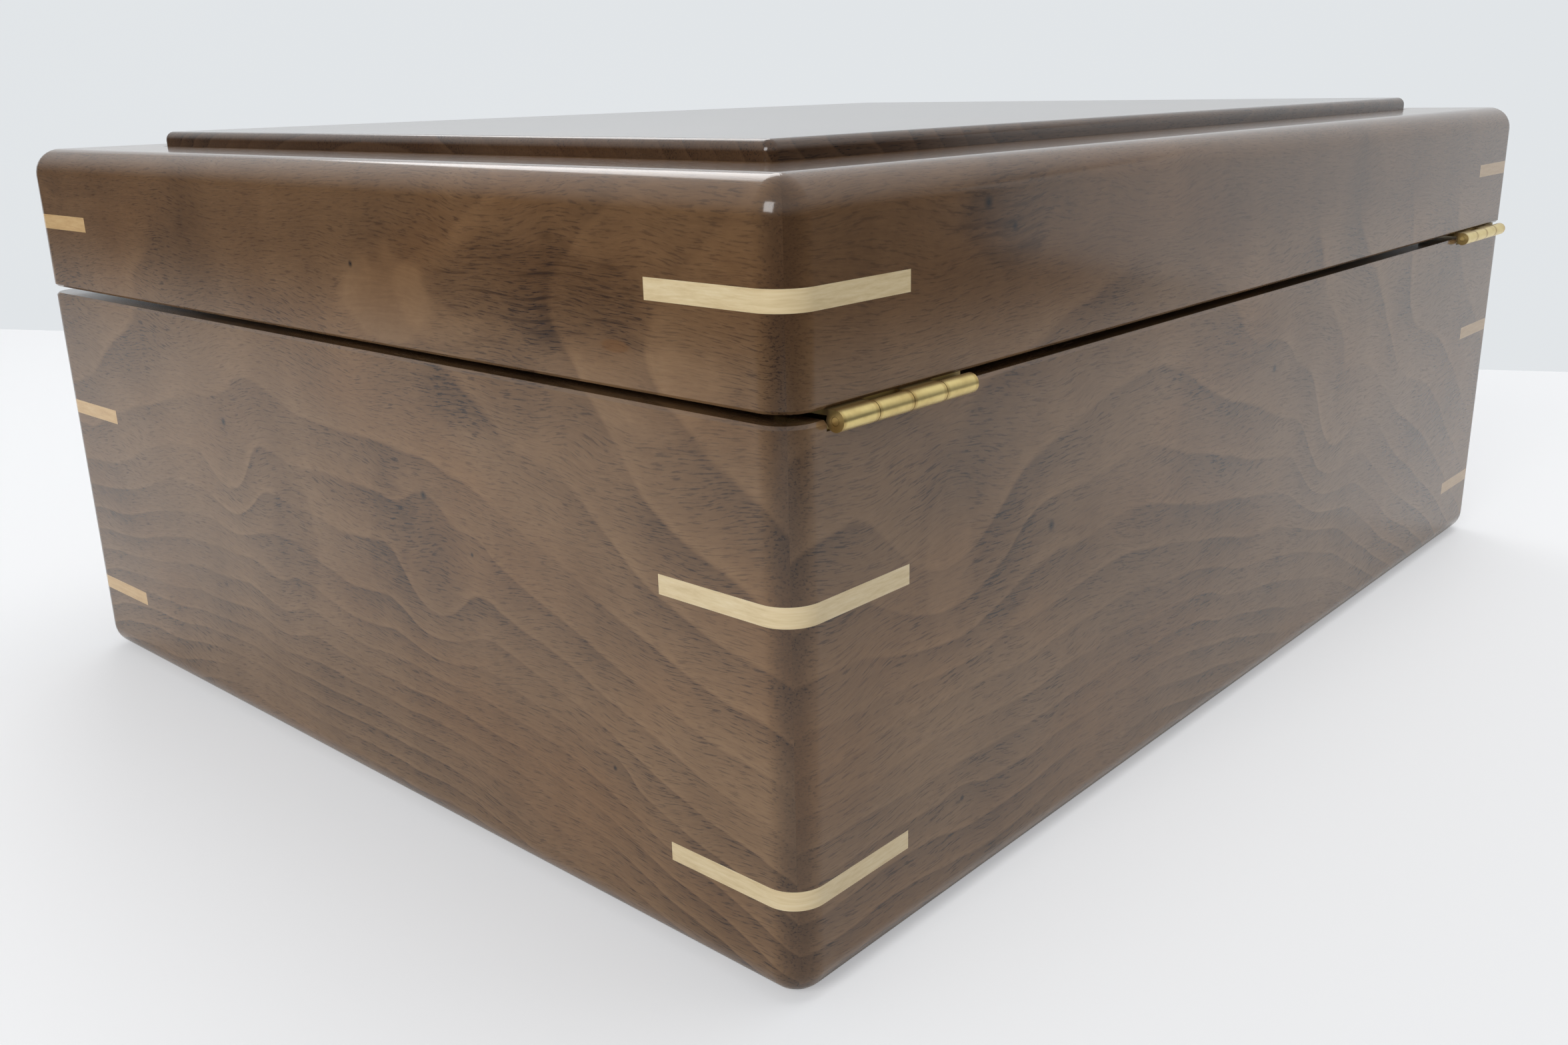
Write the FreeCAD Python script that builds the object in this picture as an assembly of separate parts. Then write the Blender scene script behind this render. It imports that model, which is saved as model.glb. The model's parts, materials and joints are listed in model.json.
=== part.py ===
import FreeCAD, Part
import math
import os

# A hinged keepsake box in walnut: mitred walls locked by maple keys, a raised panel in the
# lid's frame, and two small brass butt hinges along the back.
# Millimetres. +X runs along the length, +Y points to the hinged back, +Z is up.
# The origin is the centre of the case's footprint, on the surface that it stands on.

# Case
box_length = 304.8
box_depth = 234.0
wall_thickness = 22.2
base_height = 89.4
lid_height = 30.85
corner_radius = 5.7
foot_radius = 5.7
lid_edge_radius = 5.7
rim_chamfer = 0.5
inner_rim_chamfer = 0.6

# Bottom panel, loose in a groove round the base
bottom_thickness = 6.0
bottom_recess = 6.0
bottom_groove_depth = 6.0
groove_end_play = 0.5

# Raised panel, its tongue in a groove round the lid
panel_rise = 3.2
panel_corner_radius = 2.0
panel_edge_radius = 1.9
panel_play = 0.2
tongue_thickness = 5.0
tongue_drop = 6.0
tongue_groove_depth = 6.0

# Maple keys: one saw kerf thick, measured along each face from the corner
key_thickness = 3.2
key_reach = 26.4
low_key_height = 17.8
high_key_height = 62.4
lid_key_height = 15.0

# Butt hinges: the base's leaves are let in until the pin is level with the base's rim, and
# the lid's leaves lie on the lid's rim
hinge_length = 31.5
hinge_inset = 7.9
leaf_width = 11.0
leaf_thickness = 0.9
pin_diameter = 1.2
pin_play = 0.05
barrel_offset = 1.4
knuckle_gap = 0.12
notch_play = 0.3
mortise_play = 0.1
knuckle_owners = ("base", "lid", "base", "lid")

# Countersunk screws, two in each leaf, with 90 degree heads as deep as the leaf
screw_length = 9.5
screw_shank_diameter = 2.0
screw_spacing = 17.0

# Cutting tools run this far past what they cut
overcut = 1.0
tolerance = 0.001

# Worked out from the sizes above
half_x = box_length / 2
half_y = box_depth / 2
inner_length = box_length - 2 * wall_thickness
inner_depth = box_depth - 2 * wall_thickness
bore_radius = pin_diameter / 2 + pin_play
barrel_radius = bore_radius + leaf_thickness
axis_y = half_y + barrel_offset
axis_z = base_height
lid_rim = axis_z + barrel_radius
frame_top = lid_rim + lid_height
tongue_top = frame_top - tongue_drop
tongue_low = tongue_top - tongue_thickness
bottom_top = bottom_recess + bottom_thickness
plate_edge = barrel_radius + notch_play
screw_row = (leaf_width + plate_edge) / 2

base_key_heights = (("low", low_key_height), ("high", high_key_height))
lid_key_heights = (("lid", lid_rim + lid_key_height),)
sides = {"front": (0, -1), "back": (0, 1), "left": (-1, 0), "right": (1, 0)}
corners = {
    "front_left": (-1, -1),
    "front_right": (1, -1),
    "back_left": (-1, 1),
    "back_right": (1, 1),
}
hinge_starts = {
    "left": -half_x + hinge_inset,
    "right": half_x - hinge_inset - hinge_length,
}


def vector(x, y, z):
    return FreeCAD.Vector(x, y, z)


def block(x_low, x_high, y_low, y_high, z_low, z_high):
    """Box between two opposite corners."""
    return Part.makeBox(x_high - x_low, y_high - y_low, z_high - z_low, vector(x_low, y_low, z_low))


def centred_block(length, depth, z_low, z_high):
    """Box centred on the Z axis."""
    return block(-length / 2, length / 2, -depth / 2, depth / 2, z_low, z_high)


def prism(points, z_low, z_high):
    """Upright prism on a plan given as (x, y) points."""
    outline = [vector(x, y, z_low) for x, y in points]
    face = Part.Face(Part.makePolygon(outline + outline[:1]))
    return face.extrude(vector(0, 0, z_high - z_low))


def level_edges(shape, height):
    """Edges that lie in the horizontal plane at a height."""
    return [e for e in shape.Edges if all(abs(v.Z - height) < tolerance for v in e.Vertexes)]


def upright_edges(shape):
    """Straight edges parallel to Z."""
    found = []
    for edge in shape.Edges:
        run = edge.Vertexes[-1].Point - edge.Vertexes[0].Point
        if math.hypot(run.x, run.y) < tolerance < abs(run.z):
            found.append(edge)
    return found


# ---------------------------------------------------------------- case


def case_slab(z_low, z_high):
    """Slab of the case's plan with its upright corners rounded."""
    slab = centred_block(box_length, box_depth, z_low, z_high)
    return slab.makeFillet(corner_radius, upright_edges(slab))


def rim_flare(rim, inside):
    """Frustum that chamfers the inner edge of a rim; inside is a height within the case."""
    rings = []
    for height, widening in ((inside, 0), (rim, inner_rim_chamfer)):
        half_length = inner_length / 2 + widening
        half_depth = inner_depth / 2 + widening
        plan = [(-1, -1), (1, -1), (1, 1), (-1, 1), (-1, -1)]
        rings.append(Part.makePolygon([vector(x * half_length, y * half_depth, height) for x, y in plan]))
    return Part.makeLoft(rings, True)


def groove(z_low, z_high, depth):
    """What a groove of one depth takes out all round the inside."""
    return centred_block(inner_length + 2 * depth, inner_depth + 2 * depth, z_low, z_high)


def base_ring():
    """The base's four walls before they are mitred and keyed."""
    ring = case_slab(0, base_height)
    ring = ring.makeFillet(foot_radius, level_edges(ring, 0))
    ring = ring.makeChamfer(rim_chamfer, level_edges(ring, base_height))
    ring = ring.cut(centred_block(inner_length, inner_depth, -overcut, base_height + overcut))
    ring = ring.cut(rim_flare(base_height, base_height - inner_rim_chamfer))
    return ring.cut(groove(bottom_recess, bottom_top, bottom_groove_depth))


def lid_ring():
    """The lid's frame before it is mitred and keyed."""
    ring = case_slab(lid_rim, frame_top)
    ring = ring.makeChamfer(rim_chamfer, level_edges(ring, lid_rim))
    ring = ring.makeFillet(lid_edge_radius, level_edges(ring, frame_top))
    ring = ring.cut(centred_block(inner_length, inner_depth, lid_rim - overcut, frame_top + overcut))
    ring = ring.cut(rim_flare(lid_rim, lid_rim + inner_rim_chamfer))
    return ring.cut(groove(tongue_low, tongue_top, tongue_groove_depth))


def mitre_wedge(side, z_low, z_high):
    """Prism that holds one wall between its two 45 degree mitres."""
    across, along = side
    reach = wall_thickness + overcut
    outside_x = half_x + overcut
    outside_y = half_y + overcut
    inside_x = half_x - reach
    inside_y = half_y - reach
    if across:
        plan = [(outside_x, -outside_y), (outside_x, outside_y), (inside_x, inside_y), (inside_x, -inside_y)]
        plan = [(across * x, y) for x, y in plan]
    else:
        plan = [(-outside_x, outside_y), (outside_x, outside_y), (inside_x, inside_y), (-inside_x, inside_y)]
        plan = [(x, along * y) for x, y in plan]
    return prism(plan, z_low - overcut, z_high + overcut)


def key_blank(corner, height):
    """Triangular slice between the kerf's floor and a point outside the corner."""
    side_x, side_y = corner
    far_x = half_x + overcut
    far_y = half_y + overcut
    near_x = half_x - key_reach - overcut
    near_y = half_y - key_reach - overcut
    plan = [(near_x, far_y), (far_x, near_y), (far_x, far_y)]
    plan = [(side_x * x, side_y * y) for x, y in plan]
    return prism(plan, height - key_thickness / 2, height + key_thickness / 2)


def keys_and_walls(part, ring, key_heights, z_low, z_high):
    """Cut the kerfs, then part the ring into its walls; keys fill the kerfs flush."""
    pieces = {}
    for row, height in key_heights:
        for name, corner in corners.items():
            blank = key_blank(corner, height)
            pieces["key_" + row + "_" + name] = ring.common(blank)
            ring = ring.cut(blank)
    for name, side in sides.items():
        pieces[part + "_" + name + "_wall"] = ring.common(mitre_wedge(side, z_low, z_high))
    return pieces


def base_bottom_panel():
    spread = 2 * (bottom_groove_depth - groove_end_play)
    return centred_block(inner_length + spread, inner_depth + spread, bottom_recess, bottom_top)


def lid_panel():
    """Raised field with rounded edges, on a tongue that fills the frame's groove."""
    field_top = frame_top + panel_rise
    field_length = inner_length - 2 * panel_play
    field_depth = inner_depth - 2 * panel_play
    field = centred_block(field_length, field_depth, tongue_low, field_top)
    field = field.makeFillet(panel_corner_radius, upright_edges(field))
    field = field.makeFillet(panel_edge_radius, level_edges(field, field_top))
    spread = 2 * (tongue_groove_depth - groove_end_play)
    tongue = centred_block(inner_length + spread, inner_depth + spread, tongue_low, tongue_top)
    return field.fuse(tongue)


# ---------------------------------------------------------------- hinges
# Each hinge is drawn with its pin on the X axis from x = 0, and the base's leaf below the pin.
# The lid's leaf is the same leaf turned over, with the other two knuckles.


def pin_cylinder(radius):
    return Part.makeCylinder(radius, hinge_length, vector(0, 0, 0), vector(1, 0, 0))


def knuckle_section(x):
    """Leaf strip that runs into the barrel along a tangent, as a face across the pin."""
    leaf_top = leaf_thickness - barrel_radius
    meeting = -math.sqrt(barrel_radius ** 2 - leaf_top ** 2)
    outer_low = vector(x, -leaf_width, -barrel_radius)
    tangent = vector(x, 0, -barrel_radius)
    crown = vector(x, 0, barrel_radius)
    inside = vector(x, meeting, leaf_top)
    outer_high = vector(x, -leaf_width, leaf_top)
    edges = [
        Part.makeLine(outer_low, tangent),
        Part.Arc(tangent, crown, inside).toShape(),
        Part.makeLine(inside, outer_high),
        Part.makeLine(outer_high, outer_low),
    ]
    return Part.Face(Part.Wire(edges))


def knuckle(index):
    """One knuckle of the barrel with its strip of leaf."""
    count = len(knuckle_owners)
    length = (hinge_length - (count - 1) * knuckle_gap) / count
    start = index * (length + knuckle_gap)
    return knuckle_section(start).extrude(vector(length, 0, 0))


def screw_places():
    middle = hinge_length / 2
    return [(middle - screw_spacing / 2, -screw_row), (middle + screw_spacing / 2, -screw_row)]


def screw():
    """Countersunk screw with a plain shank, its head's top at z = 0."""
    shank_radius = screw_shank_diameter / 2
    head_radius = shank_radius + leaf_thickness
    head = Part.makeCone(shank_radius, head_radius, leaf_thickness, vector(0, 0, -leaf_thickness))
    return head.fuse(pilot_hole())


def pilot_hole():
    """Hole in the wood that the screw's shank fills, from the leaf's outer face."""
    return Part.makeCylinder(screw_shank_diameter / 2, screw_length, vector(0, 0, -screw_length))


def at_screw(shape, place):
    """Copy of a shape at one of the leaf's screws, on the leaf's inner face."""
    copy = shape.copy()
    copy.translate(vector(place[0], place[1], leaf_thickness - barrel_radius))
    return copy


def leaf(owner, pin_hole_radius):
    """Leaf with the knuckles that one owner has, bored and countersunk."""
    low = -barrel_radius
    shape = block(0, hinge_length, -leaf_width, -plate_edge, low, low + leaf_thickness)
    for index, whose in enumerate(knuckle_owners):
        if whose == owner:
            shape = shape.fuse(knuckle(index))
    shape = shape.removeSplitter().cut(pin_cylinder(pin_hole_radius))
    for place in screw_places():
        shape = shape.cut(at_screw(screw(), place))
    return shape


def mortise():
    """Recess in the base that its leaf lies in, open to the back and to the rim."""
    inner = -leaf_width - mortise_play
    return block(-mortise_play, hinge_length + mortise_play, inner, overcut, -barrel_radius, overcut)


def placed(shape, owner, start):
    """Turn a shape over for the lid, and set the hinge's axis where it belongs."""
    copy = shape.copy()
    if owner == "lid":
        copy = copy.mirror(vector(0, 0, 0), vector(0, 0, 1))
    copy.translate(vector(start, axis_y, axis_z))
    return copy


def add_hinges(pieces):
    """Let both hinges into the walls, across the mitres, and add leaves, pins and screws."""
    hole_radius = {"base": pin_diameter / 2, "lid": bore_radius}
    for side, start in hinge_starts.items():
        pieces["hinge_" + side + "_pin"] = placed(pin_cylinder(pin_diameter / 2), "base", start)
        for owner in ("base", "lid"):
            name = "hinge_" + side + "_" + owner
            pieces[name + "_leaf"] = placed(leaf(owner, hole_radius[owner]), owner, start)
            recesses = [mortise()] if owner == "base" else []
            for number, place in enumerate(screw_places(), 1):
                recesses.append(at_screw(pilot_hole(), place))
                pieces[name + "_screw_" + str(number)] = placed(at_screw(screw(), place), owner, start)
            for wall in (owner + "_back_wall", owner + "_" + side + "_wall"):
                for recess in recesses:
                    pieces[wall] = pieces[wall].cut(placed(recess, owner, start))


# ---------------------------------------------------------------- box


def box_pieces():
    pieces = keys_and_walls("base", base_ring(), base_key_heights, 0, base_height)
    pieces.update(keys_and_walls("lid", lid_ring(), lid_key_heights, lid_rim, frame_top))
    pieces["base_bottom_panel"] = base_bottom_panel()
    pieces["lid_panel"] = lid_panel()
    add_hinges(pieces)
    return pieces


def save(name, shape):
    """Write one sub-part as a single clean solid, or as a compound if it is in pieces."""
    solids = shape.removeSplitter().Solids
    result = solids[0] if len(solids) == 1 else Part.makeCompound(solids)
    result.exportStep("parts/" + name + ".step")


os.makedirs("parts", exist_ok=True)
for piece_name, piece in box_pieces().items():
    save(piece_name, piece)
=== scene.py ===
import json
import math

import bpy
from mathutils import Matrix, Vector


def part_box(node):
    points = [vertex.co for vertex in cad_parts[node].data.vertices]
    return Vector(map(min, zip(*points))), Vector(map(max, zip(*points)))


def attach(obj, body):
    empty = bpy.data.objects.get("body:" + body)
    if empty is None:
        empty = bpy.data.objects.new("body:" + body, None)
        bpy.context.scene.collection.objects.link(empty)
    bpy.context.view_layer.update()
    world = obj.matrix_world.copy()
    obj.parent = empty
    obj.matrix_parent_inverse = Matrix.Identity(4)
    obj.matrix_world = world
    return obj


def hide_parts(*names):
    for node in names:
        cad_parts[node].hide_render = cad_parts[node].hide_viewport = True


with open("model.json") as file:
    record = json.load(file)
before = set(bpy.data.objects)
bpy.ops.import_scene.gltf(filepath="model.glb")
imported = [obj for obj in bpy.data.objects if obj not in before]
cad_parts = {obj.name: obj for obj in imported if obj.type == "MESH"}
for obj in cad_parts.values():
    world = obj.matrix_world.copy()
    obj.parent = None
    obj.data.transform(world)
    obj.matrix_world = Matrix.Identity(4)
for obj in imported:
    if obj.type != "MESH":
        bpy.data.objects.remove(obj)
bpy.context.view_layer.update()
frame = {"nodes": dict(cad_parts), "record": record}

MM = 0.001


# ---------------------------------------------------------------- shader arithmetic


class Value:
    """A shader socket that takes part in Python's own arithmetic."""

    def __init__(self, shader, socket):
        self.shader = shader
        self.socket = socket

    def math(self, operation, *others):
        return self.shader.node("ShaderNodeMath", {"operation": operation}, dict(enumerate((self, *others))))

    def __add__(self, other):
        return self.math("ADD", other)

    __radd__ = __add__

    def __mul__(self, other):
        return self.math("MULTIPLY", other)

    __rmul__ = __mul__

    def __sub__(self, other):
        return self.math("SUBTRACT", other)

    def __rsub__(self, other):
        return self * -1 + other

    def __truediv__(self, other):
        return self.math("DIVIDE", other)

    def __pow__(self, other):
        return self.math("POWER", other)

    def band(self, low, high):
        """0 below low, 1 above high, smooth between them."""
        settings = {"interpolation_type": "SMOOTHSTEP"}
        return self.shader.node("ShaderNodeMapRange", settings, {0: self, 1: low, 2: high})

    def near(self, centre, width):
        """1 at the centre value, falling to 0 a width away from it."""
        return 1 - (self - centre).math("ABSOLUTE").band(0, width)


class Shader:
    """The node tree of a material or a world."""

    def __init__(self, owner):
        self.owner = owner
        owner.use_nodes = True
        self.tree = owner.node_tree
        self.tree.nodes.clear()

    def node(self, kind, settings=None, inputs=None, output=0):
        """Add a node: its settings first, then the values or links of its sockets."""
        made = self.tree.nodes.new(kind)
        for key, value in (settings or {}).items():
            if key == "stops":
                self.set_stops(made.color_ramp, value)
            else:
                setattr(made, key, value)
        for key, value in (inputs or {}).items():
            if isinstance(value, Value):
                self.tree.links.new(value.socket, made.inputs[key])
            else:
                made.inputs[key].default_value = value
        return Value(self, made.outputs[output])

    @staticmethod
    def set_stops(ramp, stops):
        while len(ramp.elements) < len(stops):
            ramp.elements.new(1)
        for element, (position, colour) in zip(ramp.elements, stops):
            element.position = position
            element.color = (*colour, 1)

    def centimetres(self):
        """Object coordinates, as three values in centimetres."""
        place = self.node("ShaderNodeTexCoord", output="Object")
        return [self.node("ShaderNodeSeparateXYZ", inputs={0: place}, output=axis) * 100 for axis in "XYZ"]

    def noise(self, x, y, z, detail=2, roughness=0.5):
        """Noise about 0, between about -0.4 and 0.4."""
        place = self.node("ShaderNodeCombineXYZ", inputs={0: x, 1: y, 2: z})
        inputs = {"Vector": place, "Scale": 1, "Detail": detail, "Roughness": roughness}
        return self.node("ShaderNodeTexNoise", inputs=inputs) - 0.5

    def mix(self, amount, first, second, blend="MIX"):
        settings = {"data_type": "RGBA", "blend_type": blend}
        colours = [c if isinstance(c, Value) else (*c, 1) for c in (first, second)]
        return self.node("ShaderNodeMix", settings, {0: amount, 6: colours[0], 7: colours[1]}, output=2)

    def ramp(self, value, stops):
        return self.node("ShaderNodeValToRGB", {"stops": stops}, {0: value})

    def bump(self, height, distance, strength):
        inputs = {"Height": height, "Distance": distance, "Strength": strength}
        return self.node("ShaderNodeBump", inputs=inputs)

    def finish(self, surface, output="ShaderNodeOutputMaterial"):
        self.node_link(surface, self.tree.nodes.new(output))
        return self.owner

    def node_link(self, surface, output):
        self.tree.links.new(surface.socket, output.inputs["Surface"])


def new_material(name):
    return Shader(bpy.data.materials.new(name))


# ---------------------------------------------------------------- woods and metal

WALNUT_TONES = [
    (0.0, (0.024, 0.012, 0.006)),
    (0.25, (0.076, 0.040, 0.018)),
    (0.50, (0.142, 0.079, 0.037)),
    (0.75, (0.210, 0.124, 0.062)),
    (1.0, (0.284, 0.178, 0.098)),
]


def spot(along, across, place, reach):
    """1 at a place on the board, falling to 0 at its reach along and across the grain."""
    far_along = (along - place[0]) / reach[0]
    far_across = (across - place[1]) / reach[1]
    return ((far_along * far_along + far_across * far_across) ** 0.5).near(0, 1)


def growth_rings(shader, along, across, depth, arch, swells, rate):
    """Ring count at a point of a board sawn off the heart: wide arches near it, close lines away from it."""
    crown, heart_depth, summit, fall_before, fall_after = arch
    below = across - crown
    inward = depth - heart_depth
    radius = (below * below + inward * inward) ** 0.5
    before = (along - summit).math("MINIMUM", 0)
    after = (along - summit).math("MAXIMUM", 0)
    radius = radius - before * before * fall_before - after * after * fall_after
    for place, reach, amount in swells:
        radius = radius + spot(along, across, place, reach) * amount
    sway = shader.noise(along * 0.15, across * 0.15, depth * 0.1, 1) * 1.3
    ripple = shader.noise(along * 0.42, across * 0.6, depth, 2, 0.4) * 0.30
    radius = radius + sway + ripple
    return radius * (radius * 0.11 + 0.50) * rate


def walnut(
    name, grain, across, depth, arch, mitre,
    swells=(), knots=(), streaks=(), blotches=(), shade=1.0, rate=1.0, lid_shade_and_calm_amount=1.0,
):
    """Lacquered walnut. grain, across and depth name the board's own axes; all places are in centimetres."""
    shader = new_material(name)
    axes = dict(zip("xyz", shader.centimetres()))
    side = axes[depth].math("SIGN") * 4
    along = axes[grain]
    cross = axes[across]
    deep = axes[depth].math("ABSOLUTE")

    ring = growth_rings(shader, along, cross, deep + side, arch[:1] + (arch[1] + 4,) + arch[2:], swells, rate)
    knot_dark = 0
    for knot_along, knot_across, size in knots:
        place = (knot_along, knot_across)
        ring = ring + spot(along, cross, place, (size * 10, size * 7)) * 0.5
        core = spot(along, cross, place, (size, size))
        halo = spot(along, cross, place, (size * 6, size * 3.5))
        knot_dark = core * 0.85 + halo * 0.14 + knot_dark

    phase = ring.math("FRACT")
    strength = shader.noise(along * 0.25, cross * 0.45, side + 5, 1).band(-0.18, 0.2) * 0.75 + 0.25
    # painted shade: over the lid's height the walls are drawn darker and warmer, as the lid catches less
    # reflection of the bright table than the base; the same mask also calms the ring figure there
    lid_shade_and_calm = cross.band(9.3, 10.8) * lid_shade_and_calm_amount
    strength = strength * (1 - lid_shade_and_calm * 0.55)
    early_wood = (1 - phase) ** 1.4 * phase.band(0, 0.06) * strength
    last_line = phase.band(0.80, 0.97) * (1 - phase.band(0.985, 1.0))

    # hair-fine pores lie along the grain and sway with the figure
    bend = shader.noise(along * 0.24, cross * 0.35, side, 2, 0.4) * 1.5
    grain_line = cross + bend
    fibre = shader.noise(along * 1.1, grain_line * 20, deep * 20, 4, 0.7)
    pores = shader.noise(along * 3.2 + 9, grain_line * 38, deep * 38, 3, 0.6).band(0.01, 0.16)

    # pale blotches have few pores, and dark ones are combed with hairlines
    wander = shader.noise(along * 0.6, cross * 0.7, side + 9, 2, 0.5) * 1.4
    blotch = 0
    for place, reach, amount in blotches:
        blotch = spot(along + wander, cross + wander, place, reach).band(0.1, 0.42) * amount + blotch
    combed = shader.noise(along * 0.55, grain_line * 12, deep * 12, 3, 0.6).band(0.0, 0.2)
    fleck = shader.noise(along * 5, grain_line * 14, deep * 14, 2, 0.6)
    curl = shader.noise(along * 0.75, cross * 0.14, side, 2, 0.5)
    cloud = shader.noise(along * 0.13, cross * 0.4, side + 3, 2, 0.5)

    # the darkening over the lid's height is painted shade
    tone = 0.635 - lid_shade_and_calm * 0.15 + cloud * 0.28 + curl * 0.24 + fibre * 0.24 + fleck * 0.16
    tone = tone - early_wood * 0.23 + last_line * strength * 0.06
    if blotches:
        pores = pores * (1 - blotch * 0.7)
        tone = tone + blotch * 0.11 + blotch.math("MINIMUM", 0) * combed * 0.20
    colour = shader.ramp(tone, WALNUT_TONES)
    colour = shader.mix(early_wood * 0.4, colour, (0.80, 0.86, 1.0), "MULTIPLY")
    colour = shader.mix(pores * (early_wood * 0.75 + 0.32), colour, (0.022, 0.012, 0.009))
    warm = shader.noise(along * 0.16, cross * 0.3, side + 11, 2).band(-0.08, 0.25)
    # the warming over the lid's height is painted shade; the rest of the warm tint is the wood's own
    colour = shader.mix(warm * 0.6 + lid_shade_and_calm * 0.25, colour, (1.0, 0.86, 0.68), "MULTIPLY")
    # painted shade: the board is darkened all over, to match the panel's edges, which lie in the shadow of
    # the frame
    if shade != 1.0:
        colour = shader.mix(1.0, colour, (shade, shade * 0.90, shade * 0.86), "MULTIPLY")
    # darker near the board's ends, on the rounded corner
    darker_near_mitre = along.math("ABSOLUTE").band(mitre - 0.62, mitre - 0.20)
    colour = shader.mix(darker_near_mitre, colour, (0.52, 0.50, 0.50), "MULTIPLY")
    for streak_along, streak_across, length, width in streaks:
        streak = spot(along, cross, (streak_along, streak_across), (length, width))
        colour = shader.mix(streak.band(0.15, 0.6) * 0.55, colour, (0.140, 0.058, 0.014))
    if knots:
        colour = shader.mix(knot_dark, colour, (0.012, 0.009, 0.008))
    surface = {
        "Base Color": colour,
        "Roughness": 0.42 - fibre * 0.20 + pores * 0.12,
        "IOR": 1.5,
        "Specular IOR Level": 0.04,
        "Coat Weight": 1.0,
        "Coat Roughness": 0.13,
        "Coat IOR": 1.48,
        "Normal": shader.bump(fibre * 0.5 - pores, 0.00003, 0.6),
    }
    return shader.finish(shader.node("ShaderNodeBsdfPrincipled", inputs=surface))


def maple(name):
    """Pale hard maple, with its grain running across the corner."""
    shader = new_material(name)
    x, y, z = shader.centimetres()
    along = x.math("ABSOLUTE") - y.math("ABSOLUTE")
    cross = x.math("ABSOLUTE") + y.math("ABSOLUTE")
    fleck = shader.noise(along * 1.5, cross * 6, z * 40, 3, 0.6)
    streak = shader.noise(along * 0.6, cross * 1.5, z * 16, 2)
    stops = [(0.0, (0.46, 0.33, 0.17)), (0.5, (0.64, 0.51, 0.30)), (1.0, (0.76, 0.65, 0.44))]
    colour = shader.ramp(0.5 + fleck * 0.5 + streak * 0.7, stops)
    # keys at the -Y corners are tinted tan, and those at the -X corners brown
    minus_y_keys_tint = 1 - y.band(-1, 1)
    minus_x_keys_tint = 1 - x.band(-1, 1)
    colour = shader.mix(minus_y_keys_tint, colour, (0.92, 0.76, 0.60), "MULTIPLY")
    colour = shader.mix(minus_x_keys_tint, colour, (0.74, 0.61, 0.52), "MULTIPLY")
    surface = {
        "Base Color": colour,
        "Roughness": 0.40 + fleck * 0.1,
        "IOR": 1.5,
        "Specular IOR Level": 0.04,
        "Coat Weight": 1.0,
        "Coat Roughness": 0.13,
        "Coat IOR": 1.48,
        "Normal": shader.bump(fleck, 0.00002, 0.4),
    }
    return shader.finish(shader.node("ShaderNodeBsdfPrincipled", inputs=surface))


def brass(name, bright, dull):
    """Drawn brass, a little tarnished in clouds and at its knuckle seams, with painted shade where it lies in
    the gap between lid and base.
    """
    shader = new_material(name)
    x, y, z = shader.centimetres()
    drawn = shader.noise(x * 2, y * 45, z * 45, 2, 0.6)
    cloud = shader.noise(x * 2.5, y * 2.5, z * 2.5, 3, 0.6)
    seam = ((x.math("ABSOLUTE") - 11.3) / 0.7905).math("FRACT").near(0.5, 0.5)
    # painted shade: the brass in the gap between lid and base, just behind the back face, is drawn dark and
    # dull
    gap_shade = y.near(11.70, 0.12)
    tarnish = (1 - seam).band(0.86, 1.0) * 0.5 + cloud.band(-0.1, 0.3) * 0.4
    surface = {
        # the dark brown mixed in here is painted shade in the gap
        "Base Color": shader.mix(gap_shade * 0.9, shader.mix(tarnish, bright, dull), (0.10, 0.06, 0.03)),
        "Metallic": 1.0,
        "Roughness": 0.31 + drawn * 0.12 + cloud * 0.1 + gap_shade * 0.25,
        "Normal": shader.bump(drawn, 0.000006, 0.5),
    }
    return shader.finish(shader.node("ShaderNodeBsdfPrincipled", inputs=surface))


# knots: along, across, size. swells: where the rings bulge or dip, as place, reach and amount.
END_KNOTS = (
    (1.62, 10.45, 0.09), (-3.87, 6.87, 0.13), (3.13, 6.55, 0.12), (4.42, 5.72, 0.06), (7.81, 2.81, 0.07),
)
END_SWELLS = (
    ((-3.9, 6.0), (1.5, 2.6), -0.60), ((3.2, 4.6), (1.7, 1.9), -0.60), ((-2.4, 3.4), (1.5, 2.0), -0.30),
)
BACK_KNOTS = (
    (-0.18, 7.28, 0.13), (11.12, 1.89, 0.08), (10.7, 11.52, 0.16), (9.97, 11.12, 0.10), (8.6, 6.0, 0.15),
)
BACK_SWELLS = (
    ((11.6, 6.4), (2.6, 3.0), -0.9), ((-3.8, 5.2), (2.4, 2.8), -1.0), ((-8.5, 7.0), (2.4, 3.0), -0.6),
)

# blotches: pale (above 0) or dark (below 0) places in the wood, as place, reach and amount
END_BLOTCHES = (
    ((2.5, 9.9), (2.0, 1.2), 1.4), ((8.6, 9.2), (2.8, 1.0), 0.9), ((6.6, 10.3), (3.7, 1.3), -1.1),
    ((5.0, 8.7), (2.4, 1.1), -0.8), ((-1.5, 4.8), (1.0, 2.2), -0.6), ((2.0, 5.7), (0.9, 2.0), -0.6),
)
BACK_BLOTCHES = (
    ((11.6, 6.3), (1.0, 1.9), 0.7), ((9.9, 5.6), (1.4, 1.7), -0.7), ((9.9, 11.3), (2.3, 1.0), -0.7),
    ((-3.0, 6.2), (1.2, 2.0), 0.5), ((2.0, 8.0), (3.5, 0.9), -0.5), ((4.0, 3.2), (4.0, 1.2), -0.4),
)

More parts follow.
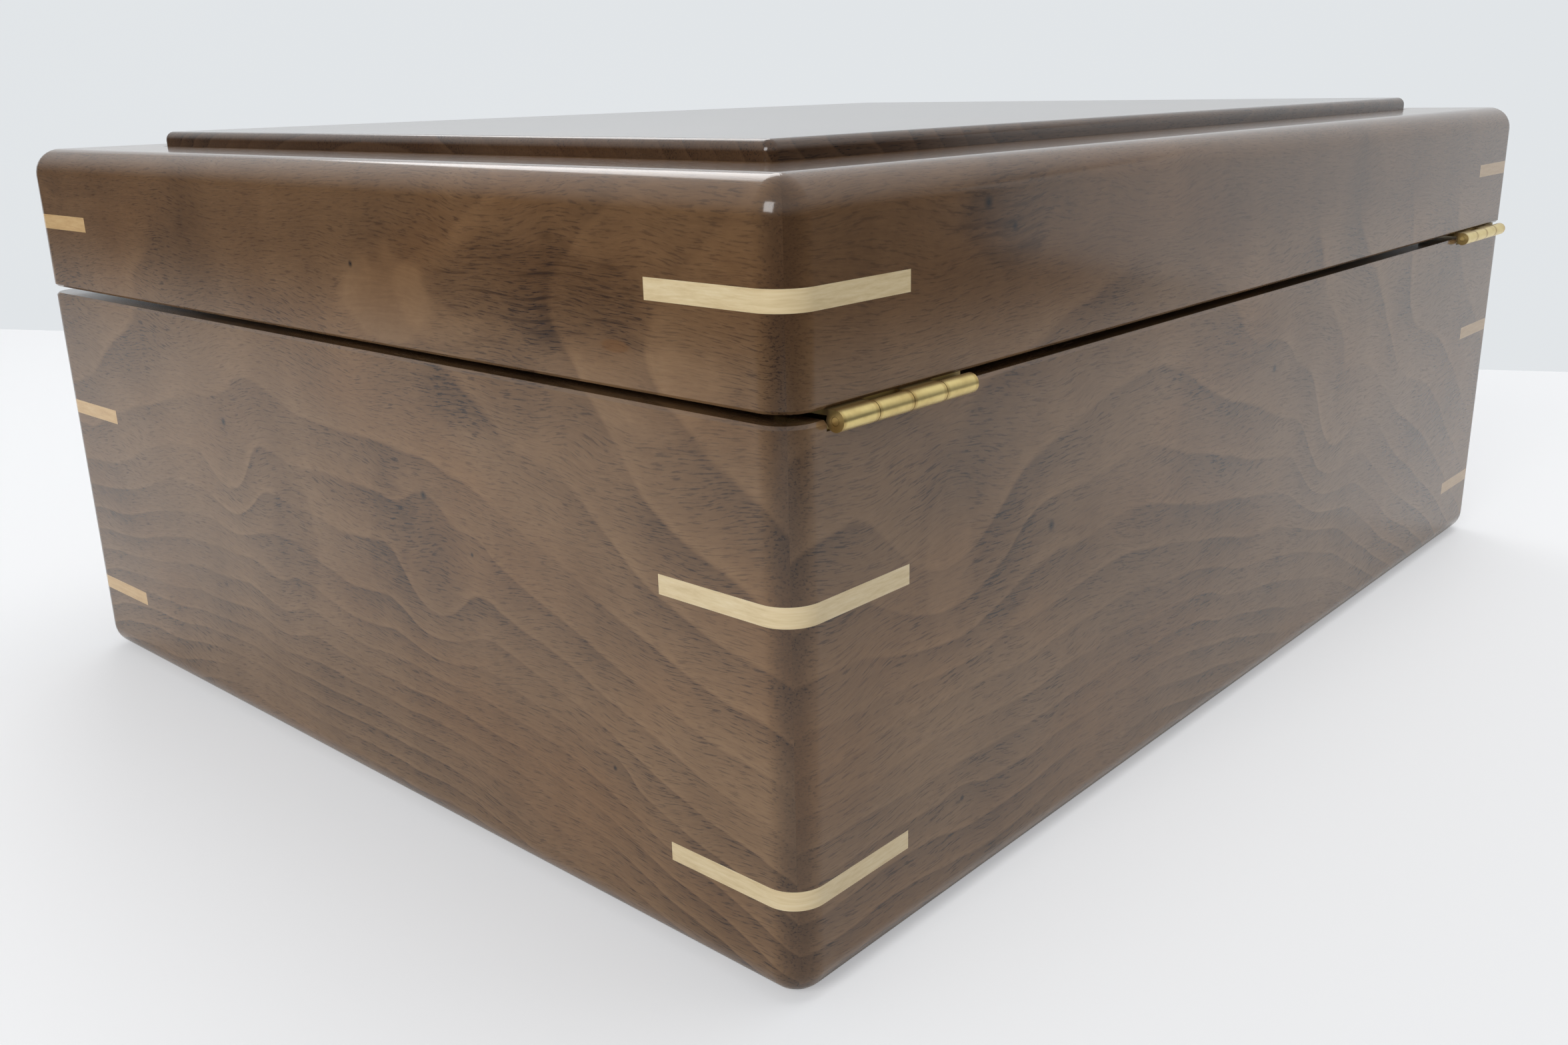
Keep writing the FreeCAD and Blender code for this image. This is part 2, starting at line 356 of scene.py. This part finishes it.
# arch: height of the crown, depth of the heart, place of the summit, fall before it and after it
# mitre: half the length of the board; the wood is drawn darker near it, on the rounded corner
END_MITRE = 11.7
LONG_MITRE = 15.24
NO_MITRE = 99
end_arch = (9.7, 10.24, -0.4, 0.0058, 0.0135)
long_arch = (10.5, 6.9, 6.0, 0.016, 0.0)
end_streaks = ((8.4, 9.72, 0.5, 0.16),)
end_walnut = walnut(
    "walnut_end_boards", "y", "z", "x", end_arch, END_MITRE, END_SWELLS, END_KNOTS, end_streaks, END_BLOTCHES
)
# the long boards get the strongest painted shade over the lid's height
long_walnut = walnut(
    "walnut_long_boards", "x", "z", "y", long_arch, LONG_MITRE, BACK_SWELLS, BACK_KNOTS,
    blotches=BACK_BLOTCHES, rate=0.8, lid_shade_and_calm_amount=1.4,
)
panel_arch = (-1.5, 5.0, 2.0, 0.012, 0.02)
floor_arch = (2.0, -6.0, -4.0, 0.01, 0.015)
# the lid panel is drawn darker all over: painted shade
panel_walnut = walnut("walnut_lid_panel", "x", "y", "z", panel_arch, NO_MITRE, shade=0.46, lid_shade_and_calm_amount=0.0)
floor_walnut = walnut("walnut_box_floor", "x", "y", "z", floor_arch, NO_MITRE, lid_shade_and_calm_amount=0.0)
key_maple = maple("maple_keys")
hinge_brass = brass("hinge_brass", (0.83, 0.66, 0.28), (0.46, 0.29, 0.09))
screw_brass = brass("screw_brass", (0.78, 0.60, 0.25), (0.40, 0.26, 0.09))


# ---------------------------------------------------------------- pieces


def body_of(node):
    bodies = frame["record"]["behaviour"]["bodies"]
    return next(body for body, nodes in bodies.items() if node in nodes)


def deselect():
    bpy.ops.object.select_all(action="DESELECT")


def make_active(thing):
    deselect()
    thing.select_set(True)
    bpy.context.view_layer.objects.active = thing


def apply_modifier(thing, kind, **settings):
    make_active(thing)
    modifier = thing.modifiers.new(kind.lower(), kind)
    for key, value in settings.items():
        setattr(modifier, key, value)
    bpy.ops.object.modifier_apply(modifier=modifier.name)


def smooth_edges(thing, angle):
    """Round edges shade smoothly, flat faces stay flat and sharp edges stay sharp."""
    make_active(thing)
    bpy.ops.object.shade_smooth_by_angle(angle=math.radians(angle), keep_sharp_edges=False)
    apply_modifier(thing, "WEIGHTED_NORMAL", keep_sharp=True, weight=100)


def finished_board(node, material):
    """A board with its edges sanded to smooth curves, in place of the faceted CAD solid."""
    source = frame["nodes"][node]
    board = bpy.data.objects.new(node + "_sanded", source.data.copy())
    bpy.context.collection.objects.link(board)
    make_active(board)
    bpy.ops.object.mode_set(mode="EDIT")
    bpy.ops.mesh.select_all(action="SELECT")
    bpy.ops.mesh.remove_doubles(threshold=0.001 * MM)
    bpy.ops.object.mode_set(mode="OBJECT")
    bpy.ops.mesh.customdata_custom_splitnormals_clear()
    board.data.materials.clear()
    board.data.materials.append(material)
    smooth_edges(board, 25)
    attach(board, body_of(node))
    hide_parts(node)


def select_faces(thing, test):
    """In edit mode, leave selected only the faces whose centre and normal pass the test."""
    bpy.ops.mesh.select_all(action="DESELECT")
    bpy.ops.object.mode_set(mode="OBJECT")
    for face in thing.data.polygons:
        face.select = test(face.center, face.normal)
    bpy.ops.object.mode_set(mode="EDIT")


def close_shell(thing):
    """Close the open ends of a shell and turn all its faces outwards."""
    make_active(thing)
    bpy.ops.object.mode_set(mode="EDIT")
    bpy.ops.mesh.select_all(action="SELECT")
    bpy.ops.mesh.remove_doubles(threshold=0.0001 * MM)
    bpy.ops.mesh.fill_holes(sides=4)
    bpy.ops.mesh.normals_make_consistent(inside=False)
    bpy.ops.object.mode_set(mode="OBJECT")


def make_screw(name, length, head_radius, shank_radius, head_depth):
    """A countersunk wood screw that stands on its point, its head's flat face at the origin."""
    place = (0, 0, -head_depth / 2)
    bpy.ops.mesh.primitive_cylinder_add(vertices=48, radius=head_radius, depth=head_depth, location=place)
    screw = bpy.context.object
    screw.name = name
    bpy.ops.object.mode_set(mode="EDIT")
    bpy.ops.mesh.select_mode(type="FACE")
    select_faces(screw, lambda centre, normal: normal.z < -0.9)
    taper = shank_radius / head_radius
    bpy.ops.transform.resize(value=(taper, taper, 1))
    plain_shank = (length * 0.30 - head_depth, 1.0)
    core_step = (length * 0.02, 0.78)
    threaded_core = (length * 0.40, 0.94)
    point = (length * 0.28, 0.35)
    for drop, scale in (plain_shank, core_step, threaded_core, point):
        bpy.ops.mesh.extrude_region_move(TRANSFORM_OT_translate={"value": (0, 0, -drop)})
        bpy.ops.transform.resize(value=(scale, scale, 1))
    bpy.ops.object.mode_set(mode="OBJECT")
    bpy.ops.object.transform_apply(location=True, rotation=True, scale=True)
    close_shell(screw)
    return screw


def make_thread(shank_radius, start, end, pitch):
    """The thread: a small ridge wound round the shank, closed at both ends."""
    upright = (math.pi / 2, 0, 0)
    bpy.ops.mesh.primitive_circle_add(vertices=3, radius=0.30 * MM, location=(0, 0, 0), rotation=upright)
    thread = bpy.context.object
    bpy.ops.object.transform_apply(location=True, rotation=True, scale=True)
    bpy.ops.object.mode_set(mode="EDIT")
    bpy.ops.mesh.select_all(action="SELECT")
    bpy.ops.transform.translate(value=(shank_radius * 0.8, 0, end))
    bpy.ops.object.mode_set(mode="OBJECT")
    turns = int((start - end) / pitch)
    settings = {"steps": 20, "render_steps": 20, "screw_offset": pitch, "iterations": turns}
    apply_modifier(thread, "SCREW", **settings)
    close_shell(thread)
    return thread


def cut_slot(screw, head_radius, width, depth):
    """Saw the driver's slot across the head."""
    bpy.ops.mesh.primitive_cube_add(size=1, location=(0, 0, 0))
    saw = bpy.context.object
    saw.scale = (width, head_radius * 3, depth * 2)
    bpy.ops.object.transform_apply(location=True, rotation=True, scale=True)
    apply_modifier(screw, "BOOLEAN", operation="DIFFERENCE", object=saw, solver="EXACT")
    bpy.data.objects.remove(saw)


def build_screws():
    """Eight screws from one, each in the place of its plain solid."""
    nodes = sorted(node for node in frame["nodes"] if "_screw_" in node)
    low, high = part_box(nodes[0])
    length = high[2] - low[2]
    head_radius = (high[0] - low[0]) / 2
    head_depth = 0.9 * MM
    shank_radius = head_radius - head_depth
    first = make_screw("first_screw", length, head_radius, shank_radius, head_depth)
    cut_slot(first, head_radius, 0.55 * MM, 0.45 * MM)
    thread = make_thread(shank_radius, -length * 0.36, -length * 0.93, 0.75 * MM)
    deselect()
    thread.select_set(True)
    first.select_set(True)
    bpy.context.view_layer.objects.active = first
    bpy.ops.object.join()
    first.data.materials.clear()
    first.data.materials.append(screw_brass)
    turns = (0.3, 1.1, 2.0, 0.7, 2.6, 1.6, 0.1, 2.3)
    for node, turn in zip(nodes, turns):
        low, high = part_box(node)
        screw = bpy.data.objects.new(node + "_slotted", first.data.copy())
        bpy.context.collection.objects.link(screw)
        in_lid = body_of(node) == "lid"
        face = low[2] if in_lid else high[2]
        tilt = Matrix.Rotation(math.pi if in_lid else 0, 4, "X")
        centre = Vector(((low[0] + high[0]) / 2, (low[1] + high[1]) / 2, face))
        screw.data.transform(Matrix.Translation(centre) @ tilt @ Matrix.Rotation(turn, 4, "Z"))
        smooth_edges(screw, 35)
        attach(screw, body_of(node))
        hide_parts(node)
    bpy.data.objects.remove(first)


def finish_for(node):
    if node.startswith("key_"):
        return key_maple
    if node.startswith("hinge_"):
        return hinge_brass
    if node == "lid_panel":
        return panel_walnut
    if node == "base_bottom_panel":
        return floor_walnut
    return end_walnut if "left" in node or "right" in node else long_walnut


for node_name in frame["nodes"]:
    if "_screw_" not in node_name:
        finished_board(node_name, finish_for(node_name))
build_screws()


# ---------------------------------------------------------------- stage, light, camera


def table_top():
    """Pale table. A gloss ray that lands past the table's edge sees the room below instead."""
    bpy.ops.mesh.primitive_plane_add(size=6, location=(0, 0, 0))
    table = bpy.context.object
    table.name = "table_top"
    shader = new_material("table_white")
    x, y, _ = shader.centimetres()
    cloud = shader.noise(x * 0.03, y * 0.03, 0, 2)
    colour = shader.mix(cloud + 0.5, (0.815, 0.82, 0.825), (0.83, 0.835, 0.84))
    seen = shader.node("ShaderNodeLightPath", output="Is Camera Ray")
    colour = shader.mix(seen, colour, (0.53, 0.53, 0.53))
    pale = shader.mix(seen, (0, 0, 0), (0.355, 0.36, 0.37))
    surface = {"Base Color": colour, "Roughness": 0.7, "Emission Color": pale, "Emission Strength": 1.0}
    white = shader.node("ShaderNodeBsdfPrincipled", inputs=surface)
    off_edge = x.band(34, 62).math("MAXIMUM", y.band(30, 55))
    gloss = shader.node("ShaderNodeLightPath", output="Is Glossy Ray")
    clear = shader.node("ShaderNodeBsdfTransparent")
    both = shader.node("ShaderNodeMixShader", inputs={0: off_edge * gloss, 1: white, 2: clear})
    table.data.materials.append(shader.finish(both))


def far_wall():
    """White wall behind the box, seen by the camera and by gloss from its front only."""
    normal = Vector((0.893, 0.449, 0)).normalized()
    middle = normal * -0.3356 + Vector((0.449, -0.893, 0)) * 0.2
    bpy.ops.mesh.primitive_plane_add(size=1, location=(0, 0, 0))
    wall = bpy.context.object
    wall.name = "far_wall"
    turn = normal.to_track_quat("Z", "Y").to_matrix().to_4x4()
    width, height = 2.2, 0.35
    middle.z = height / 2
    wall.data.transform(Matrix.Translation(middle) @ turn @ Matrix.Diagonal((width, height, 1, 1)))
    shader = new_material("wall_white")
    x, y, z = shader.centimetres()
    shade = shader.noise(x * 0.02, y * 0.02, z * 0.04, 1) + 0.5
    colour = shader.mix(shade, (0.745, 0.775, 0.80), (0.775, 0.80, 0.82))
    glow = shader.node("ShaderNodeEmission", inputs={"Color": colour, "Strength": 1.0})
    clear = shader.node("ShaderNodeBsdfTransparent")
    back = shader.node("ShaderNodeNewGeometry", output="Backfacing")
    both = shader.node("ShaderNodeMixShader", inputs={0: back, 1: glow, 2: clear})
    wall.data.materials.append(shader.finish(both))
    wall.visible_diffuse = False
    wall.visible_shadow = False


def studio_world():
    """Even sky for light, pale background for the camera, and a dim room for gloss."""
    world = bpy.data.worlds.new("studio")
    bpy.context.scene.world = world
    shader = Shader(world)
    way = shader.node("ShaderNodeTexCoord", output="Generated")
    height = shader.node("ShaderNodeSeparateXYZ", inputs={0: way}, output="Z")
    ceiling = shader.mix(height.band(0.03, 0.6), (0.05, 0.05, 0.055), (0.86, 0.88, 0.90))
    sky = shader.node("ShaderNodeBackground", inputs={"Color": (0.95, 0.97, 1.0, 1), "Strength": 0.43})
    pale = shader.node("ShaderNodeBackground", inputs={"Color": (0.77, 0.79, 0.81, 1), "Strength": 1.0})
    room = shader.node("ShaderNodeBackground", inputs={"Color": ceiling, "Strength": 1.0})
    gloss = shader.node("ShaderNodeLightPath", output="Is Glossy Ray")
    camera_ray = shader.node("ShaderNodeLightPath", output="Is Camera Ray")
    unseen = shader.node("ShaderNodeMixShader", inputs={0: gloss, 1: sky, 2: room})
    all_rays = shader.node("ShaderNodeMixShader", inputs={0: camera_ray, 1: unseen, 2: pale})
    shader.finish(all_rays, "ShaderNodeOutputWorld")


def softbox(name, place, size, power, glint=True):
    """A square lamp that faces the box."""
    lamp = bpy.data.lights.new(name, "AREA")
    lamp.shape = "SQUARE"
    lamp.size = size
    lamp.energy = power
    thing = bpy.data.objects.new(name, lamp)
    bpy.context.collection.objects.link(thing)
    thing.visible_glossy = glint
    thing.location = place
    aim = Vector((0, 0, 0.06)) - Vector(place)
    thing.rotation_euler = aim.to_track_quat("-Z", "Y").to_euler()


def set_camera():
    """The camera stands off the +X, +Y corner, a little above the lid."""
    lens = bpy.data.cameras.new("camera")
    lens.sensor_width = 36
    lens.lens = 32.308
    lens.clip_start = 0.01
    camera = bpy.data.objects.new("camera", lens)
    bpy.context.collection.objects.link(camera)
    bpy.context.scene.camera = camera
    heading = math.radians(222.1621)
    tilt = math.radians(-17.3974)
    ahead = Vector((math.cos(tilt) * math.cos(heading), math.cos(tilt) * math.sin(heading), math.sin(tilt)))
    right = ahead.cross(Vector((0, 0, 1))).normalized()
    turn = Matrix((right, right.cross(ahead), -ahead)).transposed()
    roll = Matrix.Rotation(math.radians(-1.3218), 3, "Z")
    camera.matrix_world = Matrix.Translation((0.285045, 0.236037, 0.132863)) @ (turn @ roll).to_4x4()


deselect()
table_top()
far_wall()
studio_world()
softbox("key_softbox", (1.29, 0.285, 0.77), 0.6, 8.9)
softbox("back_softbox", (-0.62, -1.0, 1.0), 0.75, 4.2)
softbox("top_softbox", (-0.3, 0.2, 1.5), 1.0, 9, glint=False)
set_camera()
bpy.context.scene.view_settings.view_transform = "Standard"
